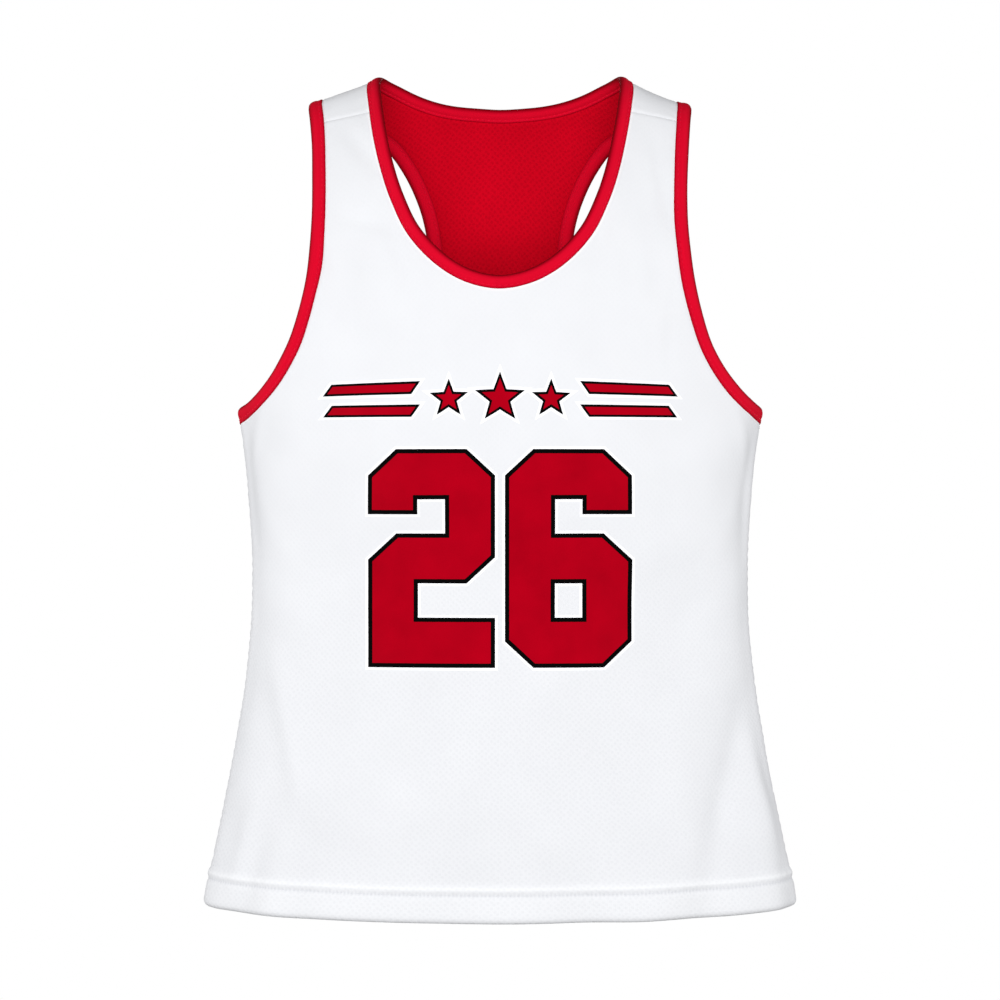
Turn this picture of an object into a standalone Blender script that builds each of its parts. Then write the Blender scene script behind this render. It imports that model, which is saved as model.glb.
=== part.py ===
"""A reversible racerback pinnie, filled out as when worn, in metres, +Z up, its front facing -Y.

Two plies of mesh knit, a white one outside and a red one inside, are each cut as a front and a
back. They meet at the sides and at a shoulder seam that lies forward of the shoulder, and a
folded red strip binds the neck and both armholes. The origin lies midway between the shoulders,
level with the cloth's inner face at the middle of the straps.

Every piece is cut flat and then wrapped on the form. A flat point is (round, down): round is
the distance round the chest from the centre line, and down the distance along the cloth from
the top of the shoulder, below 0 on the front and above 0 on the back.
"""

import math

import bpy
import numpy as np
from mathutils import Vector
from mathutils.geometry import delaunay_2d_cdt

# ---------------------------------------------------------------- driving sizes, metres

PLY = 0.0010  # one ply of knit
GAP = 0.0003  # clear space between two pieces
WHOLE = 2 * PLY + GAP  # both plies

ARMPIT_DROP = 0.262  # shoulder top to armpit
STRAP_MIDDLE = 0.124  # centre line to the middle of a strap
SHOULDER_SLOPE = math.tan(math.radians(22.5))
SHOULDER_ROUNDING = 0.030  # eases the two slopes into each other over the neck
CHEST_HALF_WIDTH = 0.205
CHEST_HALF_DEPTH = 0.090

SEAM_FORWARD = 0.0455  # shoulder seam, forward of the shoulder top at the strap's middle
SEAM_SLANT = 0.23  # how much further forward it lies towards the neck

HEM_DOWN = 0.6922  # shoulder top to the hem, along the cloth
HEM_RISE = 0.0040  # the hem is this much higher at the side seams
HEM_STEP = 0.0009  # the turned-up allowance thickens the wall by this
HEM_ALLOWANCE = 0.0300
HEM_RAMP = 0.0020  # width of the slope at the allowance's top edge
HEM_ROUND = 0.0015  # rounding of the fold at the hem
INNER_HEM_UP = 0.0045  # the red ply ends this far above the white one

BINDING_DEPTH = 0.0112  # the folded strip covers this much of the edge on each face
BINDING_WALL = 0.0010
BINDING_CORNER = 0.0012

STATION_PITCH = 0.013  # along the bound edges
ACROSS_PITCH = 0.018  # across a panel
DOWN_PITCH = 0.034  # down a panel
SHOULDER_PITCH = 0.010  # the same where the cloth turns over the shoulder
SHOULDER_REACH = 0.080
ARC_STEPS = 400
LINE_STEPS = 24  # points for each row of a cut line
PROBE = 1e-5  # step for slopes on the form

WHITE_KNIT = (0.86, 0.87, 0.90)
RED_KNIT = (0.50, 0.004, 0.012)
RED_BINDING = (0.58, 0.003, 0.020)

# the form below the armpit; above it the first row holds
PROFILE = np.array((
    # below armpit, half width, front depth, back depth
    (-0.080, 0.2100, 0.098, 0.080),
    (-0.020, 0.2100, 0.098, 0.080),
    (0.010, 0.2083, 0.098, 0.079),
    (0.040, 0.2050, 0.097, 0.077),
    (0.080, 0.2016, 0.093, 0.073),
    (0.125, 0.1993, 0.089, 0.070),
    (0.165, 0.2003, 0.088, 0.070),
    (0.210, 0.2045, 0.090, 0.074),
    (0.260, 0.2120, 0.093, 0.080),
    (0.310, 0.2216, 0.096, 0.085),
    (0.360, 0.2319, 0.099, 0.089),
    (0.400, 0.2390, 0.101, 0.092),
))

# the neck's finished edge, from the centre front over the shoulder to the centre back
NECK_EDGE = (
    # round, down
    (0.0000, -0.2000),
    (0.0220, -0.1950),
    (0.0345, -0.1880),
    (0.0480, -0.1765),
    (0.0627, -0.1580),
    (0.0750, -0.1310),
    (0.0835, -0.1030),
    (0.0895, -0.0736),
    (0.0935, -0.0450),
    (0.0956, -0.0210),
    (0.0945, -0.0020),
    (0.0885, 0.0150),
    (0.0782, 0.0286),
    (0.0647, 0.0420),
    (0.0450, 0.0555),
    (0.0237, 0.0644),
    (0.0000, 0.0687),
)

# an armhole's finished edge, from the side seam up the front and down the cut-in back
ARMHOLE_EDGE = (
    # round before the side seam, down
    (0.0000, -0.2885),
    (0.0213, -0.2834),
    (0.0347, -0.2767),
    (0.0507, -0.2634),
    (0.0691, -0.2373),
    (0.0794, -0.2114),
    (0.0864, -0.1838),
    (0.0911, -0.1500),
    (0.0922, -0.1100),
    (0.0906, -0.0700),
    (0.0882, -0.0340),
    (0.0866, -0.0120),
    (0.0880, 0.0080),
    (0.0975, 0.0280),
    (0.1135, 0.0460),
    (0.1320, 0.0630),
    (0.1498, 0.0800),
    (0.1615, 0.0988),
    (0.1716, 0.1203),
    (0.1784, 0.1403),
    (0.1822, 0.1600),
    (0.1831, 0.1820),
    (0.1781, 0.2070),
    (0.1626, 0.2310),
    (0.1346, 0.2530),
    (0.0946, 0.2700),
    (0.0486, 0.2820),
    (0.0000, 0.2885),
)

# soft folds: troughs have a depth below 0
FOLDS = (
    # round and down at the top, round and down at the foot, half width, depth
    (-0.168, -0.500, -0.190, -0.660, 0.020, -0.0055),
    (-0.146, -0.530, -0.160, -0.690, 0.019, 0.0040),
    (-0.112, -0.560, -0.124, -0.690, 0.017, -0.0022),
    (0.040, -0.560, 0.042, -0.690, 0.024, -0.0028),
    (0.076, -0.520, 0.086, -0.690, 0.022, 0.0026),
    (0.196, -0.500, 0.142, -0.690, 0.020, -0.0050),
    (0.150, -0.480, 0.112, -0.640, 0.021, 0.0036),
    (0.206, -0.580, 0.196, -0.690, 0.020, 0.0038),
    (-0.185, 0.470, -0.160, 0.690, 0.021, -0.0052),
    (-0.150, 0.520, -0.118, 0.690, 0.021, 0.0042),
    (-0.060, 0.430, -0.052, 0.690, 0.025, -0.0040),
    (0.012, 0.520, 0.018, 0.690, 0.023, 0.0030),
    (0.092, 0.460, 0.080, 0.690, 0.024, -0.0036),
    (0.140, 0.500, 0.150, 0.690, 0.020, 0.0044),
    (0.192, 0.520, 0.180, 0.690, 0.020, -0.0046),
)


for leftover in list(bpy.data.objects):
    bpy.data.objects.remove(leftover, do_unlink=True)


# ---------------------------------------------------------------- the filled-out form

def arc_table(across, along):
    """Lengths along a quarter ellipse from the end of its second half axis, and the angles there."""
    angle = np.linspace(0.0, math.pi / 2, ARC_STEPS)
    steps = np.hypot(np.diff(across * np.sin(angle)), np.diff(along * np.cos(angle)))
    return np.concatenate(([0.0], np.cumsum(steps))), angle


ROUND_CHEST = arc_table(CHEST_HALF_WIDTH, CHEST_HALF_DEPTH)
OVER_SHOULDER = arc_table(CHEST_HALF_DEPTH, ARMPIT_DROP)
SIDE = ROUND_CHEST[0][-1]  # round, at the side seam
ARMPIT_DOWN = OVER_SHOULDER[0][-1]  # down, at the armpit's level


def through(knots, values, at):
    """A smooth line through the values at the knots, read at other places."""
    slope = np.gradient(values, knots)
    at = np.clip(at, knots[0], knots[-1])
    i = np.clip(np.searchsorted(knots, at) - 1, 0, len(knots) - 2)
    span = knots[i + 1] - knots[i]
    t = (at - knots[i]) / span
    rise = t * t * (3 - 2 * t)
    return (
        values[i] * (1 - rise)
        + values[i + 1] * rise
        + span * slope[i] * t * (1 - t) ** 2
        - span * slope[i + 1] * t * t * (1 - t)
    )


def smooth_form(flat):
    """Flat points wrapped on the form without its folds. Past a side seam the other panel goes on."""
    sideways, down = np.abs(flat[:, 0]), flat[:, 1]
    past_seam = sideways > SIDE
    theta = np.interp(np.where(past_seam, 2 * SIDE - sideways, sideways), *ROUND_CHEST)
    psi = np.interp(np.abs(down), *OVER_SHOULDER)
    below = np.abs(down) - ARMPIT_DOWN
    half_width, front, back = (through(PROFILE[:, 0], PROFILE[:, k], below) for k in (1, 2, 3))
    x = np.sign(flat[:, 0]) * half_width * np.sin(theta)
    y = np.where((down < 0) != past_seam, -front, back) * np.cos(theta) * np.sin(psi)
    soft_middle = math.hypot(STRAP_MIDDLE, SHOULDER_ROUNDING)
    shoulder = SHOULDER_SLOPE * (soft_middle - np.hypot(x, SHOULDER_ROUNDING))
    z = WHOLE - ARMPIT_DROP + (shoulder + ARMPIT_DROP) * np.cos(psi) - np.maximum(below, 0)
    return np.stack((x, y, z), axis=1)


def slopes(surface, flat):
    """How the surface runs with round and with down, and its outward normal."""
    steps = np.array(((PROBE, 0.0), (0.0, PROBE)))
    by_round, by_down = (
        (surface(flat + step) - surface(flat - step)) / (2 * PROBE) for step in steps
    )
    normal = np.cross(by_round, by_down)
    return by_round, by_down, normal / np.linalg.norm(normal, axis=1, keepdims=True)


def fold_height(flat):
    """How far the folds lift the cloth off the smooth form."""
    height = np.zeros(len(flat))
    for round_top, down_top, round_foot, down_foot, half_width, depth in FOLDS:
        along = (flat[:, 1] - down_top) / (down_foot - down_top)
        middle = round_top + (round_foot - round_top) * along
        grown = np.clip(along, 0.0, 1.0)
        grown = grown * grown * (3 - 2 * grown)
        height += depth * grown * np.exp(-(((flat[:, 0] - middle) / half_width) ** 2))
    return height


def form(flat):
    """Flat points wrapped on the form, folds and all: the outer face of the white ply."""
    normal = slopes(smooth_form, flat)[2]
    return smooth_form(flat) + normal * fold_height(flat)[:, None]


def on_form(flat, lift):
    """Flat points on the form, moved out along its normal by lift."""
    flat = np.asarray(flat, dtype=float)
    lift = np.broadcast_to(lift, len(flat))
    return form(flat) + slopes(form, flat)[2] * lift[:, None]


# ---------------------------------------------------------------- cut lines

def seam_down(sideways, gap=0.0):
    """The shoulder seam; gap moves it towards the front or the back."""
    return -SEAM_FORWARD - SEAM_SLANT * (STRAP_MIDDLE - sideways) + gap


def cut_line(rows, mirror):
    """A smooth flat line through the rows, square to the mirror line at both ends."""
    rows = np.array(rows)
    image = np.array((2 * mirror, 0.0)) + rows[[1, -2]] * (-1, 1)
    whole = np.vstack((image[:1], rows, image[1:]))
    knots = np.concatenate(([0.0], np.cumsum(np.linalg.norm(np.diff(whole, axis=0), axis=1))))
    at = np.linspace(knots[1], knots[-2], LINE_STEPS * len(rows))
    return np.stack([through(knots, whole[:, k], at) for k in (0, 1)], axis=1)


def split_at_shoulder(line):
    """The front's and the back's shares of a cut line, which both hold the point on the seam."""
    past = line[:, 1] - seam_down(line[:, 0])
    i = np.flatnonzero((past[:-1] < 0) != (past[1:] < 0))[0]
    share = past[i] / (past[i] - past[i + 1])
    crossing = line[i] + share * (line[i + 1] - line[i])
    return np.vstack((line[: i + 1], crossing)), np.vstack((crossing, line[i + 1:]))


def stations(line):
    """The line again as evenly spaced points on the form."""
    length = np.linalg.norm(np.diff(form(line), axis=0), axis=1)
    length = np.concatenate(([0.0], np.cumsum(length)))
    count = max(2, round(length[-1] / STATION_PITCH) + 1)
    at = np.linspace(0.0, length[-1], count)
    return np.stack([np.interp(at, length, line[:, k]) for k in (0, 1)], axis=1)


ON_MIRROR = (0.0, 1.0)  # an end on the centre line or a side seam slides along it
ON_SHOULDER = (1.0, SEAM_SLANT)


def aside(line, distance, turn, guides):
    """The line moved sideways in the cloth by a real distance, its ends sliding along guides."""
    by_round, by_down, normal = slopes(form, line)
    flat_run = np.gradient(line, axis=0)
    flat_run[0] = line[1] - line[0]
    flat_run[-1] = line[-1] - line[-2]
    run = by_round * flat_run[:, :1] + by_down * flat_run[:, 1:]
    run /= np.linalg.norm(run, axis=1, keepdims=True)
    square = np.cross(run, normal) * turn
    moved = np.empty_like(line)
    for i in range(len(line)):
        frame = np.stack((by_round[i], by_down[i]), axis=1)
        move = np.linalg.lstsq(frame, square[i] * distance, rcond=None)[0]
        guide = guides[0] if i == 0 else guides[1] if i == len(line) - 1 else None
        if guide is not None:
            guide_run = frame @ np.array(guide)
            if guide == ON_MIRROR:
                move = np.array(guide) * distance / np.linalg.norm(guide_run)
                move *= np.sign(guide_run @ square[i])
            else:
                move = np.array(guide) * distance / (guide_run @ square[i])
        moved[i] = line[i] + move
    return moved


class BoundEdge:
    """One panel's share of the neck or of an armhole: its stations, and lines beside them."""

    def __init__(self, line, turn, guides):
        self.line = stations(line)
        self.turn = turn
        self.guides = guides

    def at(self, distance):
        return aside(self.line, distance, self.turn, self.guides)


NECK_LINE = cut_line(NECK_EDGE, 0.0)
ARMHOLE_LINE = cut_line([(SIDE - inward, down) for inward, down in ARMHOLE_EDGE], SIDE)
neck_front, neck_back = split_at_shoulder(NECK_LINE)
armhole_front, armhole_back = split_at_shoulder(ARMHOLE_LINE)
EDGES = {
    "front": (
        BoundEdge(neck_front, 1, (ON_MIRROR, ON_SHOULDER)),
        BoundEdge(armhole_front, -1, (ON_MIRROR, ON_SHOULDER)),
    ),
    "back": (
        BoundEdge(neck_back, 1, (ON_SHOULDER, ON_MIRROR)),
        BoundEdge(armhole_back, -1, (ON_SHOULDER, ON_MIRROR)),
    ),
}


# ---------------------------------------------------------------- panels

RAW_EDGE = BINDING_WALL + GAP  # the panels end this far inside the binding's fold
BAND_EDGE = BINDING_DEPTH + 2 * GAP  # a line of points just clear of the binding


def hem_line(sideways, up, side_sign):
    """Flat points at a distance above the hem."""
    rise = HEM_RISE * (sideways / SIDE) ** 2
    return np.stack((sideways, side_sign * (HEM_DOWN - rise - up)), axis=1)


def above_hem(flat):
    return HEM_DOWN - HEM_RISE * (flat[:, 0] / SIDE) ** 2 - np.abs(flat[:, 1])


class Plan:
    """A flat outline and the lines inside it, gathered for one triangulation."""

    def __init__(self):
        self.points = []
        self.edges = []

    def chain(self, line):
        start = len(self.points)
        self.points.extend(map(tuple, line))
        self.edges.extend((i, i + 1) for i in range(start, len(self.points) - 1))

    def mirrored_chain(self, line):
        self.chain(line)
        self.chain(line * (-1, 1))

    def tie(self, one, other):
        start = len(self.points)
        self.points.extend((tuple(one), tuple(other)))
        self.edges.append((start, start + 1))


def inside(outline, points):
    """Which points lie inside a closed outline."""
    x, y = points[:, 0], points[:, 1]
    within = np.zeros(len(points), dtype=bool)
    for (x0, y0), (x1, y1) in zip(outline, np.roll(outline, -1, axis=0)):
        if y0 != y1:
            crosses = (y0 > y) != (y1 > y)
            within ^= crosses & (x < (x1 - x0) * (y - y0) / (y1 - y0) + x0)
    return within


def flat_panel(side):
    """A whole panel's flat points and triangles, its left half the image of its right."""
    sign = -1 if side == "front" else 1
    neck, armhole = EDGES[side]
    side_round = SIDE - GAP / 2
    plan = Plan()
    rims = []
    for edge in (neck, armhole):
        raw, band = edge.at(RAW_EDGE), edge.at(BAND_EDGE)
        for line in (raw, band):
            line[line[:, 0] > side_round, 0] = side_round
            shoulder_end = -1 if side == "front" else 0
            line[shoulder_end, 1] += sign * GAP / 2
            plan.mirrored_chain(line)
        for here, there in zip(raw[:-1], band[1:]):
            plan.tie(here, there)
            plan.tie(here * (-1, 1), there * (-1, 1))
        rims.append((raw, band))
    (neck_raw, neck_band), (arm_raw, arm_band) = rims
    if side == "back":
        neck_raw, neck_band, arm_raw, arm_band = (
            line[::-1] for line in (neck_raw, neck_band, arm_raw, arm_band)
        )
    # from here every line of an edge runs towards the shoulder
    middle = (neck_band[-1] + arm_band[-1]) / 2
    shoulder = np.array((neck_raw[-1], neck_band[-1], middle, arm_band[-1], arm_raw[-1]))
    plan.mirrored_chain(shoulder)

    columns = np.linspace(0.0, side_round, round(SIDE / ACROSS_PITCH) + 1)
    hem_levels = (0.0, HEM_ROUND, INNER_HEM_UP, HEM_ALLOWANCE - HEM_RAMP / 2, HEM_ALLOWANCE + HEM_RAMP / 2)
    hem_rows = [hem_line(columns, up, sign) for up in hem_levels]
    for row in hem_rows:
        plan.mirrored_chain(row)
    armpit, hem_top = arm_band[0], hem_rows[-1][-1]
    seam_count = round(abs(hem_top[1] - armpit[1]) / DOWN_PITCH) + 1
    seam = np.linspace(armpit, hem_top, seam_count)
    side_seam = np.vstack((arm_raw[:1], seam, [row[-1] for row in hem_rows[-2::-1]]))
    plan.mirrored_chain(side_seam)

    right = np.vstack((neck_raw, shoulder[1:-1], arm_raw[::-1], side_seam[1:], hem_rows[0][-2::-1]))
    outline = np.vstack((right, right[-2:0:-1] * (-1, 1)))
    rows = np.concatenate((
        np.arange(-SHOULDER_REACH, SHOULDER_REACH, SHOULDER_PITCH),
        np.arange(SHOULDER_REACH, HEM_DOWN - HEM_ALLOWANCE, DOWN_PITCH),
    ))
    grid = []
    for number, down in enumerate(rows):
        shift = ACROSS_PITCH / 2 * (number % 2)
        sideways = np.arange(shift, side_round, ACROSS_PITCH)
        sideways = np.concatenate((-sideways[sideways > 0][::-1], sideways))
        grid.extend((across, sign * down) for across in sideways)
    grid = np.array(grid)
    grid = grid[inside(outline, grid)]
    fixed = np.array(plan.points)
    nearest = np.linalg.norm(grid[:, None] - fixed[None], axis=2).min(axis=1)
    plan.points.extend(map(tuple, grid[nearest > 0.6 * ACROSS_PITCH]))

    points = [Vector(point) for point in plan.points]
    found = delaunay_2d_cdt(points, plan.edges, [], 1, 1e-6)
    return np.array([tuple(point) for point in found[0]]), np.array(found[2])


def wall(flat, triangles, outer_lift, inner_lift):
    """A closed wall: the triangles on an outer and an inner face, and a rim between the two."""
    outer, inner = on_form(flat, outer_lift), on_form(flat, inner_lift)
    first = outer[triangles[:, 1]] - outer[triangles[:, 0]]
    second = outer[triangles[:, 2]] - outer[triangles[:, 0]]
    out = slopes(form, flat)[2][triangles[:, 0]]
    backwards = np.einsum("ij,ij->i", np.cross(first, second), out) < 0
    triangles = triangles.copy()
    triangles[backwards] = triangles[backwards][:, ::-1]
    count = len(flat)
    faces = [tuple(corners) for corners in triangles]
    faces += [tuple(corners[::-1] + count) for corners in triangles]
    runs = {(t[i], t[(i + 1) % 3]) for t in triangles for i in range(3)}
    for a, b in sorted(run for run in runs if run[::-1] not in runs):
        faces.append((b, a, a + count, b + count))
    return np.vstack((outer, inner)), faces


def only_used(flat, triangles):
    """The points that the triangles use, renumbered."""
    used = np.unique(triangles)
    number = np.full(len(flat), -1)
    number[used] = np.arange(len(used))
    return flat[used], number[triangles]


def outer_panel(side):
    """A white panel, thickened outward by its turned-up hem."""
    flat, triangles = only_used(*flat_panel(side))
    up = above_hem(flat)
    outer_lift = np.where(up < HEM_ALLOWANCE, HEM_STEP, 0.0)
    outer_lift[up < HEM_ROUND / 2] = -PLY / 3
    return wall(flat, triangles, outer_lift, -PLY)


def inner_panel(side):
    """A red panel, cut from the same pattern and a little shorter, its hem turned inward."""
    flat, triangles = flat_panel(side)
    keep = above_hem(flat)[triangles].min(axis=1) > INNER_HEM_UP - GAP
    flat, triangles = only_used(flat, triangles[keep])
    up = above_hem(flat)
    inner_lift = np.where(up < HEM_ALLOWANCE, -WHOLE - HEM_STEP, -WHOLE)
    return wall(flat, triangles, -PLY - GAP, inner_lift)


# ---------------------------------------------------------------- bindings

TOP = GAP + BINDING_WALL  # the strip's outer face, above the white ply
UNDER = -WHOLE - GAP - BINDING_WALL  # its inner face, below the red ply
BINDING_SECTION = (
    # distance from the fold, lift
    (BINDING_DEPTH, TOP),
    (BINDING_CORNER, TOP),
    (0.0, TOP - BINDING_CORNER),
    (0.0, UNDER + BINDING_CORNER),
    (BINDING_CORNER, UNDER),
    (BINDING_DEPTH, UNDER),
    (BINDING_DEPTH, UNDER + BINDING_WALL),
    (BINDING_WALL, UNDER + BINDING_WALL),
    (BINDING_WALL, TOP - BINDING_WALL),
    (BINDING_DEPTH, TOP - BINDING_WALL),
)


def binding_rings(edges, image):
    """The strip's section at every station of the front's edge and then the back's."""
    rings = []
    for distance, lift in BINDING_SECTION:
        lines = [edge.at(distance) * (image, 1) for edge in edges]
        line = np.vstack((lines[0], lines[1][1:]))
        rings.append(on_form(line, lift))
    return np.stack(rings, axis=1)


def strip_faces(pairs, reverse):
    """Triangles between pairs of rings. Each pair says whether its rings come in the edge's own order,
    so that the strip's faces are split the same way as the panel under them."""
    sides = len(BINDING_SECTION)
    faces = []
    for here, there, in_order in pairs:
        for j in range(sides):
            k = (j + 1) % sides
            a, b = here * sides + j, here * sides + k
            c, d = there * sides + k, there * sides + j
            outward = BINDING_SECTION[j][0] > BINDING_SECTION[k][0]
            if outward == in_order:
                faces += [(a, b, d), (b, c, d)]
            else:
                faces += [(a, b, c), (a, c, d)]
    return [face[::-1] for face in faces] if reverse else faces


def neck_binding():
    """The strip round the neck: the right half from front to back, then its image back again."""
    edges = [EDGES["front"][0], EDGES["back"][0]]
    right, left = binding_rings(edges, 1), binding_rings(edges, -1)
    rings = np.vstack((right, left[-2:0:-1]))
    count = len(rings)
    pairs = [(i, (i + 1) % count, i < len(right) - 1) for i in range(count)]
    return rings.reshape(-1, 3), strip_faces(pairs, reverse=True)


def armhole_binding(image):
    """The strip round one armhole, closed at the side seam."""
    rings = binding_rings([EDGES["front"][1], EDGES["back"][1]], image)[:-1]
    pairs = [(i, (i + 1) % len(rings), True) for i in range(len(rings))]
    return rings.reshape(-1, 3), strip_faces(pairs, reverse=image < 0)


# ---------------------------------------------------------------- objects

def finish(name, colour, roughness):
    """A plain cloth finish."""
    material = bpy.data.materials.new(name)
    material.use_nodes = True
    shader = material.node_tree.nodes["Principled BSDF"]
    shader.inputs["Base Color"].default_value = (*colour, 1.0)
    shader.inputs["Roughness"].default_value = roughness
    shader.inputs["Metallic"].default_value = 0.0
    material.diffuse_color = (*colour, 1.0)
    return material


def piece(name, points, faces, material):
    """One cut-and-sewn piece as an object, its faces pointing out."""
    mesh = bpy.data.meshes.new(name)
    mesh.from_pydata([tuple(point) for point in points], [], [tuple(map(int, f)) for f in faces])
    mesh.validate()
    mesh.materials.append(material)
    mesh.shade_smooth()
    mesh.set_sharp_from_angle(angle=math.radians(40))
    thing = bpy.data.objects.new(name, mesh)
    bpy.context.scene.collection.objects.link(thing)
    return thing


white_knit = finish("white mesh knit", WHITE_KNIT, 0.85)
red_knit = finish("red mesh knit", RED_KNIT, 0.85)
red_tricot = finish("red binding tricot", RED_BINDING, 0.75)

piece("front_outer", *outer_panel("front"), white_knit)
piece("back_outer", *outer_panel("back"), white_knit)
piece("front_inner", *inner_panel("front"), red_knit)
piece("back_inner", *inner_panel("back"), red_knit)
piece("neck_binding", *neck_binding(), red_tricot)
piece("armhole_binding_left", *armhole_binding(1), red_tricot)
piece("armhole_binding_right", *armhole_binding(-1), red_tricot)
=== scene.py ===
"""The looks of a reversible racerback lacrosse pinnie, filled out as when worn.

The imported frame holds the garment's solids. Each is dressed here as what it is: two plies of mesh
knit with their folds and turned-up hems, three bound edges, the sewing, and a number and a band
pressed on the chest. Metres, +Z up, the garment's front facing -Y.
"""

import math

import bpy
import numpy as np
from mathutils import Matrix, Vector
from mathutils.geometry import delaunay_2d_cdt
from mathutils.kdtree import KDTree


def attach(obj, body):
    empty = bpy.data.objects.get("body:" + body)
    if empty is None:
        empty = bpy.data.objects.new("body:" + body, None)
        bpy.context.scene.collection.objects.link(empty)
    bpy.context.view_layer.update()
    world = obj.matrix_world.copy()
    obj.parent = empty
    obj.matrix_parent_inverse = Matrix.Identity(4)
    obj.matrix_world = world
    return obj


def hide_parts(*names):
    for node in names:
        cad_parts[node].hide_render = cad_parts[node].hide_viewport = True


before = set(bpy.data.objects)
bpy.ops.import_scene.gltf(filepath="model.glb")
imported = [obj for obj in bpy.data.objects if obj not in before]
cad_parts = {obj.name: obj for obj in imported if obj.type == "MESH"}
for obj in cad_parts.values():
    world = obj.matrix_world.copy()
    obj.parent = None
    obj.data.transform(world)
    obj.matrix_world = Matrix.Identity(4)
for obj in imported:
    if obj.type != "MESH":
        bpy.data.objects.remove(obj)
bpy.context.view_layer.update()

# ---------------------------------------------------------------- the white outer panels
# A front and a racer back of white polyester mesh knit, the garment's outer ply. Both are cut
# flat and wrapped on the filled-out form, so a flat point says where it lies: its distance round
# the chest from the centre line, and its distance down from the shoulder, below 0 on the front.

PLY = 0.0010  # one ply of knit
GAP = 0.0003  # between the two plies
WHOLE = 2 * PLY + GAP

ARMPIT_DROP = 0.262  # shoulder top to armpit
STRAP_MIDDLE = 0.124  # centre line to the middle of a strap
SHOULDER_SLOPE = math.tan(math.radians(22.5))
SHOULDER_ROUNDING = 0.030
CHEST_HALF_WIDTH = 0.205
CHEST_HALF_DEPTH = 0.090
SEAM_FORWARD = 0.0455  # shoulder seam, forward of the shoulder top
SEAM_SLANT = 0.23
HEM_DOWN = 0.6922  # shoulder top to the hem, along the cloth
HEM_RISE = 0.0040  # the hem is this much higher at the side seams

MILLIMETRES = 1000  # in a metre: the tables of the cut and of its folds are in millimetres

PROFILE = np.array((
    # below armpit, half width, front depth, back depth
    (-80, 210.0, 98, 80),
    (-20, 210.0, 98, 80),
    (10, 208.3, 98, 79),
    (40, 205.0, 97, 77),
    (80, 201.6, 93, 73),
    (125, 199.3, 89, 70),
    (165, 200.3, 88, 70),
    (210, 204.5, 90, 74),
    (260, 212.0, 93, 80),
    (310, 221.6, 96, 85),
    (360, 231.9, 99, 89),
    (400, 239.0, 101, 92),
)) / MILLIMETRES

# the neck's finished edge, round and down, from the centre front over the shoulder to the back
NECK_EDGE = np.array((
    (0, -200.0), (22.0, -195.0), (34.5, -188.0), (48.0, -176.5), (62.7, -158.0), (75.0, -131.0),
    (83.5, -103.0), (89.5, -73.6), (93.5, -45.0), (95.6, -21.0), (94.5, -2.0), (88.5, 15.0),
    (78.2, 28.6), (64.7, 42.0), (45.0, 55.5), (23.7, 64.4), (0, 68.7),
)) / MILLIMETRES

# an armhole's finished edge, from the side seam up the front and down the cut-in back: how far
# round before the side seam, and down
ARMHOLE_EDGE = np.array((
    (0, -288.5), (21.3, -283.4), (34.7, -276.7), (50.7, -263.4), (69.1, -237.3), (79.4, -211.4),
    (86.4, -183.8), (91.1, -150.0), (92.2, -110.0), (90.6, -70.0), (88.2, -34.0), (86.6, -12.0),
    (88.0, 8.0), (97.5, 28.0), (113.5, 46.0), (132.0, 63.0), (149.8, 80.0), (161.5, 98.8),
    (171.6, 120.3), (178.4, 140.3), (182.2, 160.0), (183.1, 182.0), (178.1, 207.0),
    (162.6, 231.0), (134.6, 253.0), (94.6, 270.0), (48.6, 282.0), (0, 288.5),
)) / MILLIMETRES

# soft folds that deepen towards the hem: troughs have a depth below 0
FOLDS = np.array((
    # round and down at the top, round and down at the foot, half width, depth
    (-174, -540, -192, -690, 19, -4.8),
    (-146, -550, -156, -690, 19, 3.4),
    (-112, -560, -124, -690, 17, -2.8),
    (34, -460, 54, -690, 22, -5.2),
    (76, -500, 86, -690, 20, 3.4),
    (200, -500, 146, -690, 18, -5.6),
    (154, -480, 116, -640, 20, 4.0),
    (206, -560, 202, -690, 18, 3.8),
    (-185, 470, -160, 690, 21, -5.2),
    (-150, 520, -118, 690, 21, 4.2),
    (-60, 430, -52, 690, 25, -4.0),
    (12, 520, 18, 690, 23, 3.0),
    (92, 460, 80, 690, 24, -3.6),
    (140, 500, 150, 690, 20, 4.4),
    (192, 520, 180, 690, 20, -4.6),
)) / MILLIMETRES

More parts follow.
